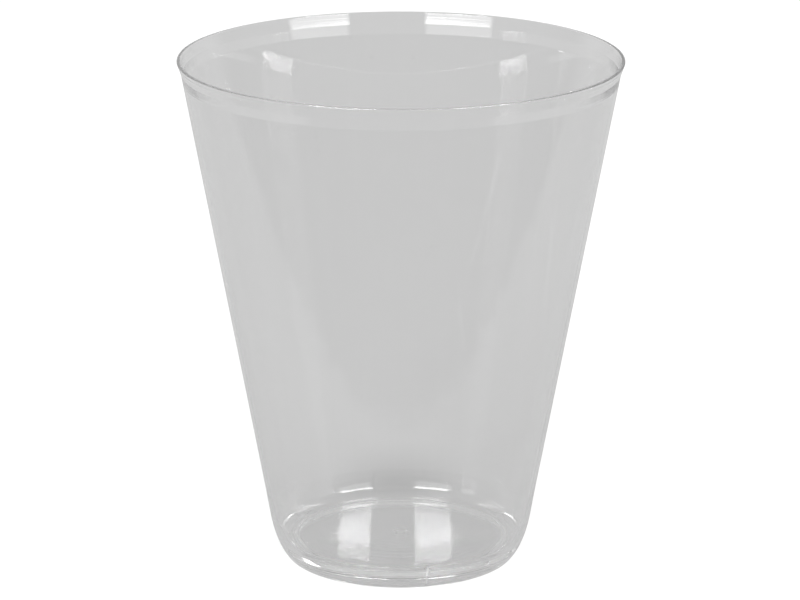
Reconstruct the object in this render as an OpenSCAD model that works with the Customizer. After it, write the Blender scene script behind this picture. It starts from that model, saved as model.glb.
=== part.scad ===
// Clear plastic tumbler cup, moulded in one piece with a thin wall.
// The whole section is one closed outline, turned about the upright axis.
// Heights are measured up from the surface that the foot ring stands on.

/* [Overall] */
// Overall height
height = 102.2; // [90:0.1:140]
// Diameter at the widest point of the lip
rim_d = 88; // [80:0.5:110]
// Outside diameter where the side wall ends and the heel begins
heel_d = 52.7; // [44:0.1:64]

/* [Side wall] */
// Thickness of the side wall, measured level
wall = 0.8; // [0.6:0.05:1.5]
// Height of the line round the wall where it starts to thicken
shoulder_z = 14.2; // [12:0.1:20]
// Outside diameter at that line
shoulder_d = 54.65; // [53.5:0.05:66]

/* [Lip] */
// Thickness of the rounded edge to drink from
lip_t = 0.7; // [0.3:0.01:0.9]
// Height of the flare outside, below the widest point
flare_h = 2.2; // [1.6:0.1:4]
// How far the flare stands out at its top
flare_out = 0.78; // [0.4:0.02:1.2]
// Height of the steep strip inside the edge
strip_h = 0.8; // [0.5:0.05:3]
// Thickness where that strip meets the band
band_t = 0.72; // [0.4:0.02:1]
// Height of the band inside, where the lip runs out into the wall
band_h = 3.3; // [1.5:0.1:6]

/* [Heel and foot] */
// Height where the rounded heel begins
heel_z = 8.6; // [6:0.1:12]
// How much taller than wide the rounding of the heel is
heel_ratio = 2.5; // [1.5:0.1:4]
// Lean of the heel where it turns into the foot
foot_lean = 42; // [30:1:60]
// Rounding of the foot's outer edge
foot_r = 1; // [0.8:0.1:2.5]
// Width of the ring that the cup stands on
foot_w = 0.5; // [0.4:0.1:1.5]
// Rounding of the foot's inner edge
foot_inner_r = 0.3; // [0.1:0.1:0.5]

/* [Base] */
// Height of the floor inside the cup
floor_z = 3.95; // [3:0.05:5]
// Thickness of the floor at its edge
floor_t = 1; // [0.8:0.05:2]
// How much thicker the floor is in the middle, where the plastic flowed in
floor_belly = 0.8; // [0.2:0.05:1]
// Thickness of the heel at its top, square to the wall
heel_top_t = 0.85; // [0.7:0.05:1.5]
// Thickness of the heel where it starts to round into the floor
heel_low_t = 1; // [0.7:0.05:1.5]
// Share of the heel's turn that lies above that place
heel_share = 0.32614; // [0.2:0.00001:0.45]
// Rounding in the corner of the hollow underneath
recess_r = 1.2; // [0.3:0.1:2]
// Draft of the hollow's side
recess_draft = 4; // [1:0.5:8]

/* [Gate] */
// Diameter of the shallow dimple over the gate
dimple_d = 2.8; // [2:0.1:5]
// Depth of that dimple
dimple_h = 0.2; // [0.1:0.05:0.4]
// Diameter of the gate's stub underneath
stub_d = 1.8; // [1:0.1:3]
// Height of that stub
stub_h = 0.4; // [0.2:0.05:0.8]

/* [Mould lines] */
// Width of the two short upright lines on the heel
seam_w = 0.5; // [0.3:0.05:1]
// How far they stand out
seam_out = 0.15; // [0.05:0.05:0.3]
// Height where both begin
seam_z = 0.6; // [0.4:0.1:2]
// Height where the front one ends
seam_front_top = 5.4; // [3:0.1:8]
// Height where the rear one ends
seam_rear_top = 7.8; // [3:0.1:8]
// Turn of the pair about the axis, from straight ahead
seam_turn = 12.3; // [0:0.1:90]

/* [Hidden] */
plastic = [0.86, 0.88, 0.90, 0.35];
arc_steps = 6;
heel_steps = 10;
$fn = 96;

rim_r = rim_d / 2;
shoulder_r = shoulder_d / 2;
heel_r = heel_d / 2;
widest_z = height - lip_t / 2;
flare_z = widest_z - flare_h;
flare_r = rim_r - flare_out;
strip_z = widest_z - strip_h;
band_z = strip_z - band_h;

// A value read off the straight line through two points at height z
function on_line(p, q, z) = p[0] + (q[0] - p[0]) * (z - p[1]) / (q[1] - p[1]);

// Points along an arc, from one angle to another. The first is left out where the
// stretch before the arc already ends on it.
function arc(centre, radius, from, to, first = 0) =
    [for (i = [first : arc_steps])
        let (a = from + (to - from) * i / arc_steps)
        centre + radius * [cos(a), sin(a)]];

// Radius of the outer wall at height z, above the shoulder
function outer_r(z) =
    z > flare_z ? on_line([flare_r, flare_z], [rim_r, widest_z], z)
    : on_line([shoulder_r, shoulder_z], [flare_r, flare_z], z);

// The heel is a stretch of an ellipse. It leaves the wall at the wall's own lean
// and ends at foot_lean, where the foot's round edge takes over.
lower_lean = atan((shoulder_r - heel_r) / (shoulder_z - heel_z));
heel_from = atan(heel_ratio * tan(lower_lean));
heel_to = atan(heel_ratio * tan(foot_lean));
foot_top_z = foot_r * (1 - sin(foot_lean));
heel_b = (heel_z - foot_top_z) / (sin(heel_to) - sin(heel_from));
heel_a = heel_b / heel_ratio;
heel_centre = [heel_r - heel_a * cos(heel_from), heel_z + heel_b * sin(heel_from)];
function heel_point(t) = heel_centre + [heel_a * cos(t), -heel_b * sin(t)];
heel_up = [for (i = [heel_steps : -1 : 0])
    heel_point(heel_from + (heel_to - heel_from) * i / heel_steps)];
foot_contact_r = heel_up[0][0] - foot_r * cos(foot_lean);

// The hollow under the floor
recess_mouth_r = foot_contact_r - foot_w;
ceiling_z = floor_z - floor_t;
recess_top_r = recess_mouth_r - ceiling_z * tan(recess_draft);
corner_share = tan(45 - recess_draft / 2);
belly_edge_r = recess_top_r - recess_r * corner_share;
belly_z = ceiling_z - floor_belly;

// Inside, the heel keeps along its outer side, and one round then leads into the floor
floor_from = heel_from + (heel_to - heel_from) * heel_share;
floor_lean = atan(tan(floor_from) / heel_ratio);
function heel_inset(t, thickness) =
    let (lean = atan(tan(t) / heel_ratio))
    heel_point(t) + thickness * [-cos(lean), sin(lean)];
heel_in = [for (i = [0 : heel_steps])
    let (share = i / heel_steps)
    heel_inset(heel_from + (floor_from - heel_from) * share,
        heel_top_t + (heel_low_t - heel_top_t) * share)];
floor_r = (heel_in[heel_steps][1] - floor_z) / (1 - sin(floor_lean));
floor_centre = heel_in[heel_steps] + floor_r * [-cos(floor_lean), sin(floor_lean)];

// A shallow cap is part of one large circle, of this radius
function cap_r(half_width, depth) = (pow(half_width, 2) + pow(depth, 2)) / (2 * depth);

// The underside of the floor, which sags towards the gate's stub
belly_r = cap_r(belly_edge_r, floor_belly);
function belly() = arc([0, belly_z + belly_r], belly_r,
    -90 + asin(stub_d / 2 / belly_r), -90 + asin(belly_edge_r / belly_r));

// The outline, up the outside from the axis underneath
function underside() = concat(
    [[0, belly_z - stub_h], [stub_d / 2, belly_z - stub_h]],
    belly(),
    arc([belly_edge_r, ceiling_z - recess_r], recess_r, 90, recess_draft, 1),
    arc([recess_mouth_r + foot_inner_r * corner_share, foot_inner_r], foot_inner_r,
        180 + recess_draft, 270));
function outside() = concat(
    arc([foot_contact_r, foot_r], foot_r, -90, -foot_lean),
    [for (i = [1 : heel_steps]) heel_up[i]],
    [[shoulder_r, shoulder_z], [flare_r, flare_z]]);
function lip() = arc([rim_r - lip_t / 2, widest_z], lip_t / 2, 0, 180);
function inside() = concat(
    [[outer_r(strip_z) - band_t, strip_z],
     [outer_r(band_z) - wall, band_z],
     [shoulder_r - wall, shoulder_z]],
    heel_in,
    arc(floor_centre, floor_r, -floor_lean, -90, 1));
dimple_r = cap_r(dimple_d / 2, dimple_h);
dimple_half = asin(dimple_d / 2 / dimple_r);
function dimple() = arc([0, floor_z - dimple_h + dimple_r], dimple_r, -90 + dimple_half, -90);

module shell() {
    rotate_extrude()
        polygon(concat(underside(), outside(), lip(), inside(), dimple()));
}

// One short upright line on the heel: a thin slice of a skin that stands proud of it
// and is rooted half way into the wall
module seam(top_z) {
    intersection() {
        rotate_extrude()
            polygon(concat(
                [for (p = heel_up) p + [seam_out, 0]],
                [for (i = [heel_steps : -1 : 0]) heel_up[i] - [wall / 2, 0]]));
        translate([0, -seam_w / 2, seam_z])
            cube([rim_r, seam_w, top_z - seam_z]);
    }
}

module cup() {
    color(plastic)
        union() {
            shell();
            rotate(seam_turn - 90) seam(seam_front_top);
            rotate(seam_turn + 90) seam(seam_rear_top);
        }
}

cup();
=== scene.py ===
"""A clear plastic tumbler in a pale photo studio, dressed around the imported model."""

import math

import bpy
from mathutils import Matrix, Vector


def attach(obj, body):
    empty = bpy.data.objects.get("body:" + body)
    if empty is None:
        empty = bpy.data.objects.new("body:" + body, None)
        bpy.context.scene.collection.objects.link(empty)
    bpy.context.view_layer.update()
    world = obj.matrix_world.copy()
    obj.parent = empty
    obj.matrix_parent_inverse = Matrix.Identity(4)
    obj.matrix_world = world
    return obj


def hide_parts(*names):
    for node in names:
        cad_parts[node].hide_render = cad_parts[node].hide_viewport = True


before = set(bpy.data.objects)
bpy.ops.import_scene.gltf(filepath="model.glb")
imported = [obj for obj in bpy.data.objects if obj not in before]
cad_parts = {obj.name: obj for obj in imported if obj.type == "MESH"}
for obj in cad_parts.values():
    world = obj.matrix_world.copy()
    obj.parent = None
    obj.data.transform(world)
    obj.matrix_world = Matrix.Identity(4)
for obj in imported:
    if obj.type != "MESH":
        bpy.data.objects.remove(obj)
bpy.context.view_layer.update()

# Sizes of the cup, in millimetres. They are those of the solid that it replaces.
MM = 0.001
HEIGHT = 102.2
RIM_R = 43.95
LIP_T = 0.7
FLARE_H = 2.2
FLARE_OUT = 0.78
STRIP_H = 0.8
BAND_H = 3.3
BAND_T = 0.72
WALL = 0.8
SHOULDER_R, SHOULDER_Z = 27.325, 14.2
HEEL_R, HEEL_Z = 26.35, 8.6
HEEL_RATIO = 2.5
FOOT_LEAN = 42
FOOT_R = 1.0
FOOT_W = 0.5
FOOT_INNER_R = 0.3
FLOOR_Z = 3.95
FLOOR_T = 1.0
FLOOR_BELLY = 0.8
HEEL_TOP_T, HEEL_LOW_T = 0.85, 1.0
FLOOR_LEAN = 17
RECESS_R = 1.2
RECESS_DRAFT = 4
DIMPLE_D, DIMPLE_H = 2.8, 0.2
STUB_D, STUB_H = 1.8, 0.4
SEAM_W, SEAM_OUT = 0.5, 0.09
SEAM_Z = 0.6
SEAM_FRONT_TOP, SEAM_REAR_TOP = 5.4, 7.8
SEAM_TURN = 12.3

# The foot and the head of a mould line run out over these heights
SEAM_FOOT_FADE, SEAM_TOP_FADE = 0.5, 0.4

# How finely the cup is divided: columns round it, steps along the heel, and the longest
# straight stretch in millimetres
COLUMNS = 425
HEEL_STEPS = 24
LONGEST_STEP = 12
# Finer columns close to a mould line: their step in degrees, and how many on each side
SEAM_STEP, SEAM_COLUMNS = 0.2, 8
# How far a corner is rounded. A bend under the first turn in degrees is none, and one under
# the second between two stretches shorter than CURVE_STEP is part of a curve.
SOFT_EDGE = 0.12
CORNER_TURN, CURVE_TURN, CURVE_STEP = 0.3, 20, 1.0

# The camera, in metres from the cup's axis and from the table
CAMERA_DISTANCE = 0.750
CAMERA_HEIGHT = 0.26924
CAMERA_PITCH = 0.28108
CAMERA_LENS, CAMERA_SENSOR = 176.06, 36
CAMERA_ROLL = 0.0012
CAMERA_ASIDE = -0.00013

# The floor's side, in metres
FLOOR_SIZE = 6

# Levels of the studio, where 1 is white. The softboxes have a level low down and one high up.
WHITE = 1.0
PAPER_GREY = 0.625
ROOM_GREY = 0.27
SOFTBOX_LOW, SOFTBOX_HIGH = 2.1, 18

# Where the room's parts lie, in degrees round the cup and up from level.
# The paper ends at a level that leans a little towards the camera. Each softbox has its middle
# and its half width, and both have their foot, top, and the heights where they get brighter.
HORIZON_LEAN = 3.15
SOFTBOXES = ((45.5, 16.5), (-32, 18.3))
SOFTBOX_FOOT, SOFTBOX_TOP = 12.5, 40.7
SOFTBOX_BRIGHT_FROM, SOFTBOX_BRIGHT_TO = 20.5, 30
# How much lower the line of their tops lies at the cup's side than in front of it
SOFTBOX_ARCH = 2.4
# Softness of the horizon and of the softboxes' foot, sides and top
HORIZON_SOFT, FOOT_SOFT, SIDE_SOFT, TOP_SOFT = 0.2, 1, 1.5, 0.15
# The pale backdrop behind the cup: where it begins and is full
BACKDROP_FROM, BACKDROP_TO = 104, 122

# How much of the paper's tone is light that the cup can shade. The paper's own colour is a
# share of it, because the studio lights the paper at more than 1.
PAPER_SHADE = 0.14
PAPER_SHARE = 0.86
# The cup's shade on the paper behind it, painted into the paper's grey as the plastic sees it: its
# place and half sizes in metres, and its depth
SHADE_BEHIND = 0.044
SHADE_WIDE, SHADE_LONG = 0.018, 0.030
SHADE_DEPTH = 0.19

# The plastic, its tone on the wall and on the band under the lip, and how softly they meet
IOR = 1.59
WALL_TINT, BAND_TINT = 0.965, 1.0
BAND_SOFT = 0.3
# Marks of moulding and handling: how fine each is, and how much it changes the tone or relief
FLOW_PER_DEGREE, FLOW_PER_METRE, FLOW_DEPTH, FLOW_RELIEF = 0.7, 22, 0.02, 0.05
MOTTLE_PER_METRE, MOTTLE_DEPTH = 60, 0.012
SPECKS_PER_METRE, SPECK_SIZE, SPECK_DEPTH = 150, 0.065, 0.06
WAVE_DEPTH, WAVE_FROM, WAVE_FULL = 0.03, 8, 16
# Roughness, from one end of the mottling's usual range to the other
GLOSS, MOTTLE_RANGE = (0.012, 0.035), (0.3, 0.7)
# The hollow underneath is a little duller: its edge and top, in millimetres
HOLLOW_EDGE, HOLLOW_TOP, HOLLOW_DULL = (21.9, 22.1), (3.2, 3.6), 0.05
# Painted reflections: light streaks where the wavy wall would reflect the softboxes, painted
# into its tone. Each goes from its foot to its head as turns from the front in degrees and
# heights in millimetres, then its half width in degrees and how much brighter it is. Their ends
# fade out over STREAK_FADE, or over a quarter of a short one.
STREAK_FADE = 6
PAINTED_STREAKS = (
    (((20.5, 69), (23.2, 77)), 1.1, 0.022),
    (((23.2, 76), (27.5, 96)), 1.3, 0.024),
    (((21.4, 50), (17.6, 64)), 0.9, 0.018),
    (((54.6, 51), (47.2, 81)), 0.8, 0.020),
    (((52.0, 52), (48.3, 93)), 0.6, 0.018),
    (((22.4, 29.8), (21.9, 33)), 0.25, 0.020),
)
# The front mould line is a little frosted, on the outside of the heel alone: its half width in
# degrees, how much, how far past its ends, and how far from the axis it begins and is full
FROST_HALF, FROST = 0.9, 0.6
FROST_PAST = 0.5
FROST_EDGE = (23.2, 23.6)
# Turns over which a path of light comes to count as lost in the wall, and the most it makes
LOST_FROM, LOST_TO = 8, 12
LONGEST_PATH = 400
# The most light that one path brings, a little over the softboxes' level
BRIGHTEST_PATH = 20


# The section


def arc(centre, radius, start, end, steps):
    """Points along an arc of the section, angles in degrees from level."""
    angles = [math.radians(start + (end - start) * i / steps) for i in range(steps + 1)]
    return [(centre[0] + radius * math.cos(a), centre[1] + radius * math.sin(a)) for a in angles]


def on_line(p, q, z):
    """Radius at height z on the straight line through p and q."""
    return p[0] + (q[0] - p[0]) * (z - p[1]) / (q[1] - p[1])


def tangent(degrees):
    return math.tan(math.radians(degrees))


def heel():
    """The heel is a stretch of an ellipse, as in the solid. Gives the turns of the ellipse at
    its top, at its foot and where the inside leads into the floor, and a function for the
    place at a turn, on the outside or a thickness in from it."""
    wall_lean = math.degrees(math.atan((SHOULDER_R - HEEL_R) / (SHOULDER_Z - HEEL_Z)))
    top, low, floor = (
        math.atan(HEEL_RATIO * tangent(lean)) for lean in (wall_lean, FOOT_LEAN, FLOOR_LEAN)
    )
    foot_top = FOOT_R * (1 - math.sin(math.radians(FOOT_LEAN)))
    tall = (HEEL_Z - foot_top) / (math.sin(low) - math.sin(top))
    wide = tall / HEEL_RATIO
    centre = (HEEL_R - wide * math.cos(top), HEEL_Z + tall * math.sin(top))

    def place(turn, thickness=0):
        lean = math.atan(math.tan(turn) / HEEL_RATIO)
        return (
            centre[0] + wide * math.cos(turn) - thickness * math.cos(lean),
            centre[1] - tall * math.sin(turn) + thickness * math.sin(lean),
        )

    return top, low, floor, place


def cap_radius(half_width, depth):
    """Radius of the circle that a shallow cap is part of."""
    return (half_width**2 + depth**2) / (2 * depth)


def section():
    """The outline of the wall, from the axis underneath, up the outside and down the inside.
    Also gives where the outside starts and ends in the list."""
    top_turn, low_turn, floor_turn, heel_place = heel()
    shares = [i / HEEL_STEPS for i in range(HEEL_STEPS + 1)]
    heel_up = [heel_place(low_turn + (top_turn - low_turn) * share) for share in shares]
    contact_r = heel_up[0][0] - FOOT_R * math.cos(math.radians(FOOT_LEAN))

    ceiling = FLOOR_Z - FLOOR_T
    mouth_r = contact_r - FOOT_W
    top_r = mouth_r - ceiling * tangent(RECESS_DRAFT)
    share_in = tangent(45 - RECESS_DRAFT / 2)
    belly_edge = top_r - RECESS_R * share_in
    belly_z = ceiling - FLOOR_BELLY
    belly_r = cap_radius(belly_edge, FLOOR_BELLY)
    belly_from, belly_to = (
        -90 + math.degrees(math.asin(r / belly_r)) for r in (STUB_D / 2, belly_edge)
    )
    under = [(0, belly_z - STUB_H), (STUB_D / 2, belly_z - STUB_H)]
    under += arc((0, belly_z + belly_r), belly_r, belly_from, belly_to, 12)
    under += arc((belly_edge, ceiling - RECESS_R), RECESS_R, 90, RECESS_DRAFT, 10)[1:]
    under += arc(
        (mouth_r + FOOT_INNER_R * share_in, FOOT_INNER_R), FOOT_INNER_R, 180 + RECESS_DRAFT, 270, 6
    )

    widest = HEIGHT - LIP_T / 2
    flare = (RIM_R - FLARE_OUT, widest - FLARE_H)
    outside = arc((contact_r, FOOT_R), FOOT_R, -90, -FOOT_LEAN, 10)
    outside += heel_up[1:] + [(SHOULDER_R, SHOULDER_Z), flare]
    lip = arc((RIM_R - LIP_T / 2, widest), LIP_T / 2, 0, 180, 12)

    strip_z = widest - STRIP_H
    band_z = strip_z - BAND_H
    inside = [
        (on_line(flare, (RIM_R, widest), strip_z) - BAND_T, strip_z),
        (on_line((SHOULDER_R, SHOULDER_Z), flare, band_z) - WALL, band_z),
        (SHOULDER_R - WALL, SHOULDER_Z),
    ]
    inside += [
        heel_place(
            top_turn + (floor_turn - top_turn) * share,
            HEEL_TOP_T + (HEEL_LOW_T - HEEL_TOP_T) * share,
        )
        for share in shares
    ]
    floor_lean = math.radians(FLOOR_LEAN)
    floor_r = (inside[-1][1] - FLOOR_Z) / (1 - math.sin(floor_lean))
    floor_edge = inside[-1][0] - floor_r * math.cos(floor_lean)
    inside += arc((floor_edge, FLOOR_Z + floor_r), floor_r, -FLOOR_LEAN, -90, 14)[1:]
    bowl_r = cap_radius(DIMPLE_D / 2, DIMPLE_H)
    half = math.degrees(math.asin(DIMPLE_D / 2 / bowl_r))
    dimple = arc((0, FLOOR_Z - DIMPLE_H + bowl_r), bowl_r, -90 + half, -90, 6)
    return under + outside + lip + inside + dimple, (len(under), len(under) + len(outside))


def softened(points, keep_from, keep_to):
    """The outline with each corner rounded by SOFT_EDGE and its long stretches divided.
    Gives the new points, and for each whether it lies between the two kept places."""
    rounded = []
    for i, point in enumerate(points):
        outer = keep_from <= i < keep_to
        if i in (0, len(points) - 1):
            rounded.append((Vector(point), outer))
            continue
        before, here, after = (Vector(points[k]) for k in (i - 1, i, i + 1))
        back, on = before - here, after - here
        turn = math.degrees(back.angle(-on))
        in_curve = turn < CURVE_TURN and back.length < CURVE_STEP and on.length < CURVE_STEP
        if turn < CORNER_TURN or in_curve:
            rounded.append((here, outer))
            continue
        reach = min(SOFT_EDGE, back.length / 3, on.length / 3)
        start, end = here + back.normalized() * reach, here + on.normalized() * reach
        for t in (0, 0.33, 0.67, 1):
            curve = start.lerp(here, t).lerp(here.lerp(end, t), t)
            rounded.append((curve, outer))
    divided = [rounded[0]]
    for (p, _), (q, outer) in zip(rounded, rounded[1:]):
        count = max(1, math.ceil((q - p).length / LONGEST_STEP))
        divided += [(p.lerp(q, i / count), outer) for i in range(1, count + 1)]
    return divided


# The mesh


def column_angles():
    """Even turns about the axis, with extra ones close to the two mould lines."""
    angles = {round(360 * i / COLUMNS, 4) for i in range(COLUMNS)}
    for seam in (SEAM_TURN - 90, SEAM_TURN + 90):
        middle = seam % 360
        steps = range(-SEAM_COLUMNS, SEAM_COLUMNS + 1)
        angles = {a for a in angles if abs(a - middle) > SEAM_COLUMNS * SEAM_STEP}
        angles |= {round(middle + step * SEAM_STEP, 4) for step in steps}
    return sorted(math.radians(a) for a in angles)


def seam_rise(angle, z):
    """How far the outside stands out at a place, over the two mould lines."""
    rise = 0
    for turn, top in ((SEAM_TURN - 90, SEAM_FRONT_TOP), (SEAM_TURN + 90, SEAM_REAR_TOP)):
        away = math.remainder(angle - math.radians(turn), 2 * math.pi) * HEEL_R
        across = math.exp(-((away / (SEAM_W / 2)) ** 4))
        foot = min(1, max(0, (z - SEAM_Z) / SEAM_FOOT_FADE))
        head = min(1, max(0, (top - z) / SEAM_TOP_FADE))
        rise += SEAM_OUT * across * (foot * head)
    return rise


def cup_mesh():
    """The wall's outline turned about the axis, as one closed mesh in metres."""
    outline, (start, end) = section()
    points = softened(outline, start, end)
    angles = column_angles()
    ring = len(angles)
    vertices = [(0, 0, points[0][0].y * MM)]
    for point, outer in points[1:-1]:
        for a in angles:
            r = point.x + (seam_rise(a, point.y) if outer and point.y < HEEL_Z else 0)
            vertices.append((r * math.cos(a) * MM, r * math.sin(a) * MM, point.y * MM))
    vertices.append((0, 0, points[-1][0].y * MM))
    last = len(vertices) - 1
    rows = len(points) - 2
    faces = [(0, 1 + (k + 1) % ring, 1 + k) for k in range(ring)]
    for row in range(rows - 1):
        low = 1 + row * ring
        for k in range(ring):
            n = (k + 1) % ring
            faces.append((low + k, low + n, low + ring + n, low + ring + k))
    top = 1 + (rows - 1) * ring
    faces += [(last, top + k, top + (k + 1) % ring) for k in range(ring)]
    mesh = bpy.data.meshes.new("cup_shell")
    mesh.from_pydata(vertices, [], faces)
    mesh.validate()
    mesh.shade_smooth()
    return mesh


# Materials


def new_material(name):
    material = bpy.data.materials.new(name)
    material.use_nodes = True
    material.node_tree.nodes.clear()
    return material, material.node_tree.nodes, material.node_tree.links


def math_node(nodes, links, operation, *values):
    """A math node fed by numbers and by other nodes' outputs."""
    node = nodes.new("ShaderNodeMath")
    node.operation = operation
    for socket, value in zip(node.inputs, values):
        if isinstance(value, (int, float)):
            socket.default_value = value
        else:
            links.new(value, socket)
    return node.outputs["Value"]


def ramp_node(nodes, links, value, start, end, low, high):
    """A smooth step of value, from low at start to high at end."""
    node = nodes.new("ShaderNodeMapRange")
    node.interpolation_type = "SMOOTHSTEP"
    links.new(value, node.inputs["Value"])
    settings = {"From Min": start, "From Max": end, "To Min": low, "To Max": high}
    for name, number in settings.items():
        node.inputs[name].default_value = number
    return node.outputs["Result"]


def noise_node(nodes, links, vector, scale, detail):
    """Smooth noise from 0 to 1."""
    node = nodes.new("ShaderNodeTexNoise")
    node.inputs["Scale"].default_value = scale
    node.inputs["Detail"].default_value = detail
    links.new(vector, node.inputs["Vector"])
    return node.outputs["Fac"]


def streak_node(nodes, links, turn, z, line, half_width):
    """1 along a line down the wall, fading to 0 at half_width degrees from it. The line goes
    from one turn and height to another, in degrees and millimetres."""
    (turn_low, z_low), (turn_high, z_high) = line
    share = nodes.new("ShaderNodeMapRange")
    links.new(z, share.inputs["Value"])
    ends = {"From Min": z_low * MM, "From Max": z_high * MM}
    ends |= {"To Min": turn_low, "To Max": turn_high}
    for name, number in ends.items():
        share.inputs[name].default_value = number
    away = math_node(nodes, links, "SUBTRACT", turn, share.outputs["Result"])
    away = math_node(nodes, links, "ABSOLUTE", away)
    across = ramp_node(nodes, links, away, 0, half_width, 1, 0)
    fade = min(STREAK_FADE, (z_high - z_low) / 4) * MM
    foot = ramp_node(nodes, links, z, z_low * MM, z_low * MM + fade, 0, 1)
    head = ramp_node(nodes, links, z, z_high * MM - fade, z_high * MM, 1, 0)
    along = math_node(nodes, links, "MULTIPLY", foot, head)
    return math_node(nodes, links, "MULTIPLY", across, along)


def clear_plastic():
    """Clear polystyrene: bright, slightly grey, with the marks of moulding and handling, and with
    painted reflections as light streaks. Its places are turns from the front, in degrees, and
    heights."""
    material, nodes, links = new_material("clear_plastic")
    out = nodes.new("ShaderNodeOutputMaterial")
    shader = nodes.new("ShaderNodeBsdfPrincipled")
    place = nodes.new("ShaderNodeTexCoord")
    split = nodes.new("ShaderNodeSeparateXYZ")
    links.new(place.outputs["Object"], split.inputs["Vector"])
    z = split.outputs["Z"]
    front = math_node(nodes, links, "MULTIPLY", split.outputs["Y"], -1)
    turn = math_node(nodes, links, "ARCTAN2", split.outputs["X"], front)
    turn = math_node(nodes, links, "DEGREES", turn)

    # Lines that the plastic left as it flowed up the mould, and its uneven cooling
    flow_place = nodes.new("ShaderNodeCombineXYZ")
    links.new(math_node(nodes, links, "MULTIPLY", turn, FLOW_PER_DEGREE), flow_place.inputs["X"])
    links.new(math_node(nodes, links, "MULTIPLY", z, FLOW_PER_METRE), flow_place.inputs["Y"])
    flow = noise_node(nodes, links, flow_place.outputs["Vector"], 1, 3)
    mottle = noise_node(nodes, links, place.outputs["Object"], MOTTLE_PER_METRE, 2)

    # The wall's faint grey, and no grey in the band under the lip, so that the band is lighter
    band_z = HEIGHT - LIP_T / 2 - STRIP_H - BAND_H
    band = ((band_z - BAND_SOFT) * MM, (band_z + BAND_SOFT) * MM)
    tint = ramp_node(nodes, links, z, *band, WALL_TINT, BAND_TINT)
    for pattern, depth in ((flow, FLOW_DEPTH), (mottle, MOTTLE_DEPTH)):
        even = math_node(nodes, links, "SUBTRACT", pattern, 0.5)
        tint = math_node(nodes, links, "MULTIPLY_ADD", even, depth, tint)
    # Painted reflections: light streaks painted into the tint where the wavy wall would reflect
    # the softboxes
    for line, half_width, gain in PAINTED_STREAKS:
        painted_streak = streak_node(nodes, links, turn, z, line, half_width)
        tint = math_node(nodes, links, "MULTIPLY_ADD", painted_streak, gain, tint)
    specks = nodes.new("ShaderNodeTexVoronoi")
    specks.inputs["Scale"].default_value = SPECKS_PER_METRE
    links.new(place.outputs["Object"], specks.inputs["Vector"])
    speck = ramp_node(nodes, links, specks.outputs["Distance"], SPECK_SIZE / 2, SPECK_SIZE, 1, 0)
    tint = math_node(nodes, links, "MULTIPLY_ADD", speck, -SPECK_DEPTH, tint)
    tint = math_node(nodes, links, "MINIMUM", tint, 1)
    links.new(tint, shader.inputs["Base Color"])

    # A wall that isn't quite even
    height = math_node(nodes, links, "MULTIPLY_ADD", flow, FLOW_RELIEF, mottle)
    wavy = ramp_node(nodes, links, z, WAVE_FROM * MM, WAVE_FULL * MM, 0, 1)
    height = math_node(nodes, links, "MULTIPLY", height, wavy)
    bump = nodes.new("ShaderNodeBump")
    bump.inputs["Distance"].default_value = WAVE_DEPTH * MM
    links.new(height, bump.inputs["Height"])
    links.new(bump.outputs["Normal"], shader.inputs["Normal"])

    # A gloss that is a little duller in places and in the hollow
    across = nodes.new("ShaderNodeCombineXYZ")
    links.new(split.outputs["X"], across.inputs["X"])
    links.new(split.outputs["Y"], across.inputs["Y"])
    radius = nodes.new("ShaderNodeVectorMath")
    radius.operation = "LENGTH"
    links.new(across.outputs["Vector"], radius.inputs[0])
    radius = radius.outputs["Value"]
    gloss = ramp_node(nodes, links, mottle, *MOTTLE_RANGE, *GLOSS)
    inner = ramp_node(nodes, links, radius, *(r * MM for r in HOLLOW_EDGE), 1, 0)
    low = ramp_node(nodes, links, z, *(h * MM for h in HOLLOW_TOP), 1, 0)
    hollow = math_node(nodes, links, "MULTIPLY", inner, low)
    gloss = math_node(nodes, links, "MULTIPLY_ADD", hollow, HOLLOW_DULL, gloss)
    links.new(gloss, shader.inputs["Roughness"])

    # The frosted mould line
    line = ((SEAM_TURN, SEAM_Z - FROST_PAST), (SEAM_TURN, SEAM_FRONT_TOP + FROST_PAST))
    frosted = streak_node(nodes, links, turn, z, line, FROST_HALF)
    heel_side = ramp_node(nodes, links, radius, *(r * MM for r in FROST_EDGE), 0, 1)
    frosted = math_node(nodes, links, "MULTIPLY", frosted, heel_side)
    clear = math_node(nodes, links, "MULTIPLY_ADD", frosted, -FROST, 1)
    links.new(clear, shader.inputs["Transmission Weight"])

    shader.inputs["IOR"].default_value = IOR
    links.new(shader.outputs["BSDF"], out.inputs["Surface"])
    return material


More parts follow.
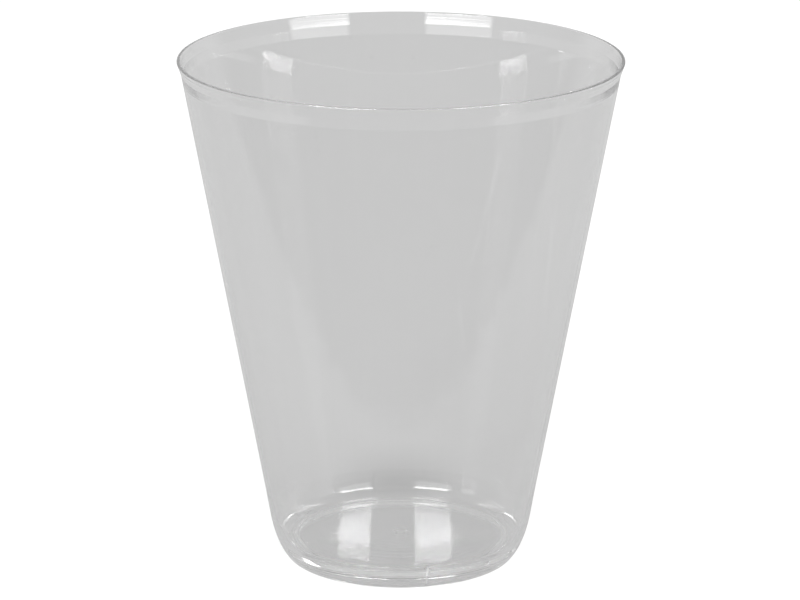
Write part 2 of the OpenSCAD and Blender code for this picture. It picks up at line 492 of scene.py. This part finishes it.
def studio_paper():
    """Plain paper: white to the camera and pale grey through the plastic, with the cup's real
    shade in its diffuse share and a painted shade behind the cup.
    """
    material, nodes, links = new_material("studio_paper")
    out = nodes.new("ShaderNodeOutputMaterial")
    paths = nodes.new("ShaderNodeLightPath")
    glossy, clear = (paths.outputs[name] for name in ("Is Glossy Ray", "Is Transmission Ray"))
    through = math_node(nodes, links, "MAXIMUM", glossy, clear)
    grey = math_node(nodes, links, "MULTIPLY", through, PAPER_GREY - PAPER_SHADE)
    # A painted shade of the cup on the paper behind it, darkening the grey that the plastic sees
    place = nodes.new("ShaderNodeTexCoord")
    split = nodes.new("ShaderNodeSeparateXYZ")
    links.new(place.outputs["Object"], split.inputs["Vector"])
    aside = math_node(nodes, links, "DIVIDE", split.outputs["X"], SHADE_WIDE)
    behind = math_node(nodes, links, "SUBTRACT", split.outputs["Y"], SHADE_BEHIND)
    behind = math_node(nodes, links, "DIVIDE", behind, SHADE_LONG)
    away = math_node(nodes, links, "MULTIPLY", behind, behind)
    away = math_node(nodes, links, "MULTIPLY_ADD", aside, aside, away)
    away = math_node(nodes, links, "SQRT", away)
    shade = ramp_node(nodes, links, away, 0, 1, 1 - SHADE_DEPTH, 1)
    shaded = math_node(nodes, links, "MULTIPLY", grey, shade)
    seen = paths.outputs["Is Camera Ray"]
    level = math_node(nodes, links, "MULTIPLY_ADD", seen, WHITE - PAPER_SHADE / 2, shaded)
    glow = nodes.new("ShaderNodeEmission")
    links.new(level, glow.inputs["Strength"])
    paper = nodes.new("ShaderNodeBsdfDiffuse")
    paper.inputs["Color"].default_value = (PAPER_SHADE * PAPER_SHARE,) * 3 + (1,)
    both = nodes.new("ShaderNodeAddShader")
    links.new(glow.outputs["Emission"], both.inputs[0])
    links.new(paper.outputs["BSDF"], both.inputs[1])
    links.new(both.outputs["Shader"], out.inputs["Surface"])
    return material


# Scene


def add_cup():
    cup = bpy.data.objects.new("cup_shell", cup_mesh())
    bpy.context.scene.collection.objects.link(cup)
    cup.data.materials.append(clear_plastic())
    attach(cup, "root")
    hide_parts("cup")


def add_floor():
    bpy.ops.mesh.primitive_plane_add(size=FLOOR_SIZE, location=(0, 0, 0))
    floor = bpy.context.object
    floor.name = "floor"
    floor.data.materials.append(studio_paper())


def add_world():
    """White to the camera. To the plastic it is a grey room over pale paper, with two tall
    softboxes on the camera's side that are brightest near their tops."""
    world = bpy.data.worlds.new("studio")
    bpy.context.scene.world = world
    world.use_nodes = True
    nodes, links = world.node_tree.nodes, world.node_tree.links
    nodes.clear()
    place = nodes.new("ShaderNodeTexCoord")
    lean = nodes.new("ShaderNodeVectorRotate")
    lean.rotation_type = "X_AXIS"
    lean.inputs["Angle"].default_value = math.radians(HORIZON_LEAN)
    links.new(place.outputs["Generated"], lean.inputs["Vector"])
    split = nodes.new("ShaderNodeSeparateXYZ")
    links.new(lean.outputs["Vector"], split.inputs["Vector"])
    up = math_node(nodes, links, "ARCSINE", split.outputs["Z"])
    up = math_node(nodes, links, "DEGREES", up)
    front = math_node(nodes, links, "MULTIPLY", split.outputs["Y"], -1)
    round_cup = math_node(nodes, links, "ARCTAN2", split.outputs["X"], front)
    round_cup = math_node(nodes, links, "DEGREES", round_cup)
    away = math_node(nodes, links, "ABSOLUTE", round_cup)
    room = ramp_node(nodes, links, away, BACKDROP_FROM, BACKDROP_TO, ROOM_GREY - PAPER_GREY, 0)
    above = ramp_node(nodes, links, up, -HORIZON_SOFT, HORIZON_SOFT, 0, 1)
    level = math_node(nodes, links, "MULTIPLY_ADD", above, room, PAPER_GREY)
    bright = (SOFTBOX_BRIGHT_FROM, SOFTBOX_BRIGHT_TO)
    glow = ramp_node(nodes, links, up, *bright, SOFTBOX_LOW, SOFTBOX_HIGH)
    foot = (SOFTBOX_FOOT - FOOT_SOFT, SOFTBOX_FOOT + FOOT_SOFT)
    above_foot = ramp_node(nodes, links, up, *foot, 0, 1)
    glow = math_node(nodes, links, "MULTIPLY", glow, above_foot)
    side = math_node(nodes, links, "COSINE", math_node(nodes, links, "RADIANS", round_cup))
    arch = (SOFTBOX_ARCH, SOFTBOX_TOP - SOFTBOX_ARCH)
    below_top = math_node(nodes, links, "MULTIPLY_ADD", side, *arch)
    below_top = math_node(nodes, links, "SUBTRACT", below_top, up)
    below_top = ramp_node(nodes, links, below_top, -TOP_SOFT, TOP_SOFT, 0, 1)
    glow = math_node(nodes, links, "MULTIPLY", glow, below_top)
    for turn, half in SOFTBOXES:
        away = math_node(nodes, links, "SUBTRACT", round_cup, turn)
        away = math_node(nodes, links, "ABSOLUTE", away)
        panel = ramp_node(nodes, links, away, half - SIDE_SOFT, half + SIDE_SOFT, 1, 0)
        level = math_node(nodes, links, "MULTIPLY_ADD", glow, panel, level)
    paths = nodes.new("ShaderNodeLightPath")
    lost = ramp_node(nodes, links, paths.outputs["Ray Depth"], LOST_FROM, LOST_TO, 0, 1)
    calm = nodes.new("ShaderNodeMix")
    calm.inputs["B"].default_value = PAPER_GREY
    links.new(lost, calm.inputs["Factor"])
    links.new(level, calm.inputs["A"])
    level = calm.outputs["Result"]
    mix = nodes.new("ShaderNodeMix")
    mix.inputs["B"].default_value = WHITE
    links.new(paths.outputs["Is Camera Ray"], mix.inputs["Factor"])
    links.new(level, mix.inputs["A"])
    background = nodes.new("ShaderNodeBackground")
    background.inputs["Color"].default_value = (1, 1, 1, 1)
    links.new(mix.outputs["Result"], background.inputs["Strength"])
    out = nodes.new("ShaderNodeOutputWorld")
    links.new(background.outputs["Background"], out.inputs["Surface"])


def add_camera():
    data = bpy.data.cameras.new("camera")
    data.lens = CAMERA_LENS
    data.sensor_width = CAMERA_SENSOR
    camera = bpy.data.objects.new("camera", data)
    bpy.context.scene.collection.objects.link(camera)
    camera.location = (CAMERA_ASIDE, -CAMERA_DISTANCE, CAMERA_HEIGHT)
    camera.rotation_euler = (
        Matrix.Rotation(math.pi / 2 - CAMERA_PITCH, 3, "X") @ Matrix.Rotation(CAMERA_ROLL, 3, "Z")
    ).to_euler()
    bpy.context.scene.camera = camera


scene = bpy.context.scene
scene.view_settings.view_transform = "Standard"
# Light runs a long way inside the thin wall, so its paths may turn many times, and the
# softboxes keep their full level through the plastic
scene.cycles.max_bounces = LONGEST_PATH
scene.cycles.transmission_bounces = LONGEST_PATH
scene.cycles.glossy_bounces = LONGEST_PATH
scene.cycles.sample_clamp_indirect = BRIGHTEST_PATH
add_camera()
add_cup()
add_floor()
add_world()
